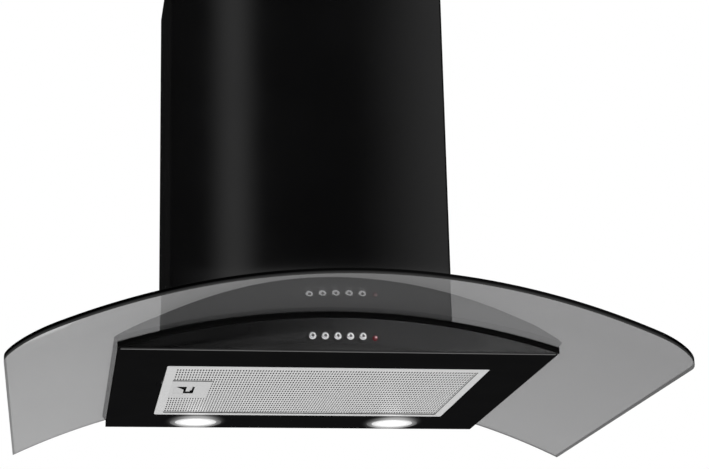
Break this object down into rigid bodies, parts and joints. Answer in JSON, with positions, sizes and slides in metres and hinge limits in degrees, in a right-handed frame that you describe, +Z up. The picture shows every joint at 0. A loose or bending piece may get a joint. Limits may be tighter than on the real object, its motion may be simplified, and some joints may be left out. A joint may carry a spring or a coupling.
{
  "type": "wall mount range hood",
  "caption": "Wall hung range hood: curved smoked glass canopy, black chimney, round push buttons, lamps, swing-down grease filter with latch, blower, outlet collar with flaps.",
  "frame": {"origin": "on the wall, midway between the two hanging holes of the motor box", "axes": "+X to the right seen from the front, +Y into the wall, +Z up"},
  "size_m": [0.6, 0.52, 0.5087],
  "materials": {
    "smoked_glass": "clear polished, smoked grey",
    "rubber": "matt black",
    "black_paint": "satin black",
    "gloss_black": "gloss black",
    "galvanised": "plain zinc",
    "screw_steel": "plain zinc",
    "aluminium": "satin",
    "chrome": "polished",
    "guide_black": "gloss black",
    "red_lens": "gloss, tinted",
    "lamp_lens": "opal",
    "lamp_body": "satin",
    "black_plastic": "matt",
    "grey_plastic": "matt",
    "motor_paint": "matt dark grey",
    "shaft_steel": "ground",
    "spring_steel": "plain"
  },
  "bodies": {
    "hood": {"glass_canopy": "smoked_glass", "glass_gasket": "rubber", "clamp_gasket": "rubber", "front_seal": "rubber", "body_shell": "black_paint", "underside_panel": "black_paint", "fascia": "gloss_black", "fascia_screws": "screw_steel", "switch_module": "black_plastic", "button_guides": "guide_black", "indicator_lens": "red_lens", "motor_box": "galvanised", "clamp_flange": "galvanised", "clamp_screws": "screw_steel", "clamp_nuts": "screw_steel", "chimney_cover": "black_paint", "chimney_bracket": "galvanised", "motor": "motor_paint", "motor_screws": "screw_steel", "outlet_collar": "black_plastic", "collar_screws": "screw_steel", "flap_pin": "shaft_steel", "latch_keeper": "spring_steel", "control_box": "grey_plastic", "capacitor": "grey_plastic", "cable_gland": "black_plastic", "blower_case_front": "grey_plastic", "blower_case_rear": "grey_plastic", "lamp_ring_left": "lamp_body", "lamp_lens_left": "lamp_lens", "lamp_housing_left": "lamp_body", "lamp_ring_right": "lamp_body", "lamp_lens_right": "lamp_lens", "lamp_housing_right": "lamp_body"},
    "filter": {"filter_frame": "aluminium", "filter_face": "aluminium", "filter_mesh": "aluminium", "filter_back": "aluminium", "filter_hooks": "aluminium", "latch_plate": "aluminium", "latch_spring": "spring_steel"},
    "latch": {"latch_slide": "aluminium"},
    "impeller": {"impeller": "black_plastic", "motor_shaft": "shaft_steel"},
    "flap_left": {"flap_left": "grey_plastic"},
    "flap_right": {"flap_right": "grey_plastic"},
    "chimney_extension": {"chimney_extension": "black_paint"},
    "button_light": {"button_light": "chrome"},
    "button_stop": {"button_stop": "chrome"},
    "button_low": {"button_low": "chrome"},
    "button_medium": {"button_medium": "chrome"},
    "button_high": {"button_high": "chrome"}
  },
  "joints": [
    {"name": "button_light_press", "type": "slide", "parent": "hood", "child": "button_light", "axis": [0, 1, 0], "range_m": [0, 0.0025], "stiffness_N_per_m": 300},
    {"name": "button_stop_press", "type": "slide", "parent": "hood", "child": "button_stop", "axis": [0, 1, 0], "range_m": [0, 0.0025], "stiffness_N_per_m": 300},
    {"name": "button_low_press", "type": "slide", "parent": "hood", "child": "button_low", "axis": [0, 1, 0], "range_m": [0, 0.0025], "stiffness_N_per_m": 300},
    {"name": "button_medium_press", "type": "slide", "parent": "hood", "child": "button_medium", "axis": [0, 1, 0], "range_m": [0, 0.0025], "stiffness_N_per_m": 300},
    {"name": "button_high_press", "type": "slide", "parent": "hood", "child": "button_high", "axis": [0, 1, 0], "range_m": [0, 0.0025], "stiffness_N_per_m": 300},
    {"name": "filter_swing", "type": "hinge", "parent": "hood", "child": "filter", "pos_m": [0.152, -0.19375, -0.349], "axis": [0, -1, 0], "range_deg": [0, 75], "deforming": ["latch_keeper"]},
    {"name": "latch_slide", "type": "slide", "parent": "filter", "child": "latch", "axis": [1, 0, 0], "range_m": [0, 0.0033], "stiffness_N_per_m": 200, "deforming": ["latch_spring"]},
    {"name": "impeller_spin", "type": "hinge", "parent": "hood", "child": "impeller", "pos_m": [-0.0355, -0.0905, -0.19], "axis": [0, 1, 0], "continuous": true},
    {"name": "flap_left_swing", "type": "hinge", "parent": "hood", "child": "flap_left", "pos_m": [0, -0.0855, 0], "axis": [0, 1, 0], "range_deg": [0, 75]},
    {"name": "flap_right_swing", "type": "hinge", "parent": "hood", "child": "flap_right", "pos_m": [0, -0.0855, 0], "axis": [0, -1, 0], "range_deg": [0, 75]},
    {"name": "chimney_slide", "type": "slide", "parent": "hood", "child": "chimney_extension", "axis": [0, 0, 1], "range_m": [0, 0.24]}
  ]
}
